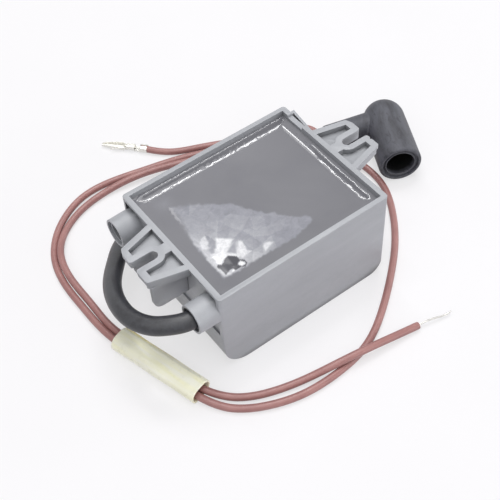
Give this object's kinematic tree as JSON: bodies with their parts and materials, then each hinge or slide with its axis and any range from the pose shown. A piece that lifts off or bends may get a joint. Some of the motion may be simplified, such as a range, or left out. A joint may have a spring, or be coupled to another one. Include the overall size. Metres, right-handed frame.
{
  "type": "ignition transformer",
  "caption": "Resin-potted ignition transformer in a moulded case with slotted ears, feed leads, a high-tension cable and a right-angle electrode boot.",
  "frame": {"origin": "middle of the case's underside", "axes": "+X along the case from the high-tension outlets to the feed leads, +Y towards the long side that the lead duct stands nearer to, +Z from the underside to the open resin face"},
  "size_m": [0.151, 0.1497, 0.0385],
  "materials": {
    "case_plastic": "satin moulded grey plastic",
    "resin": "glossy cast resin, crinkled in one patch",
    "ferrite": "dull ferrite",
    "bobbin_plastic": "natural moulded plastic",
    "copper": "enamelled copper",
    "tape": "polyester tape",
    "board": "laminate",
    "capacitor_coat": "dipped coating",
    "component_black": "moulded epoxy",
    "resistor_coat": "lacquer",
    "hookup_wire": "insulated hook-up wire",
    "contact_brass": "bright contact metal",
    "cable_rubber": "dull high-tension cable jacket",
    "boot_rubber": "scuffed silicone rubber",
    "lead_insulation": "satin lead insulation",
    "tinned_copper": "tinned metal",
    "sleeve_plastic": "translucent pale yellow sleeve"
  },
  "bodies": {
    "root": {"case": "case_plastic", "potting_resin": "resin", "magnetic_core": "ferrite", "primary_bobbin": "bobbin_plastic", "primary_winding": "copper", "secondary_bobbin": "bobbin_plastic", "secondary_winding": "copper", "insulation_tape": "tape", "circuit_board": "board", "storage_capacitor": "capacitor_coat", "rectifier_diode": "component_black", "freewheel_diode": "component_black", "dropper_resistor": "resistor_coat", "bleed_resistor": "resistor_coat", "trigger_switch": "component_black", "primary_wires": "hookup_wire", "secondary_wire_left": "copper", "secondary_wire_right": "copper", "lead_tails": "copper", "socket_contact": "contact_brass", "cable_contact": "contact_brass", "ht_cable": "cable_rubber", "electrode_boot": "boot_rubber", "boot_contact": "contact_brass", "terminal_lead": "lead_insulation", "bare_lead": "lead_insulation", "bare_strands": "tinned_copper", "crimp_terminal": "tinned_copper", "lead_sleeve": "sleeve_plastic"}
  },
  "joints": []
}
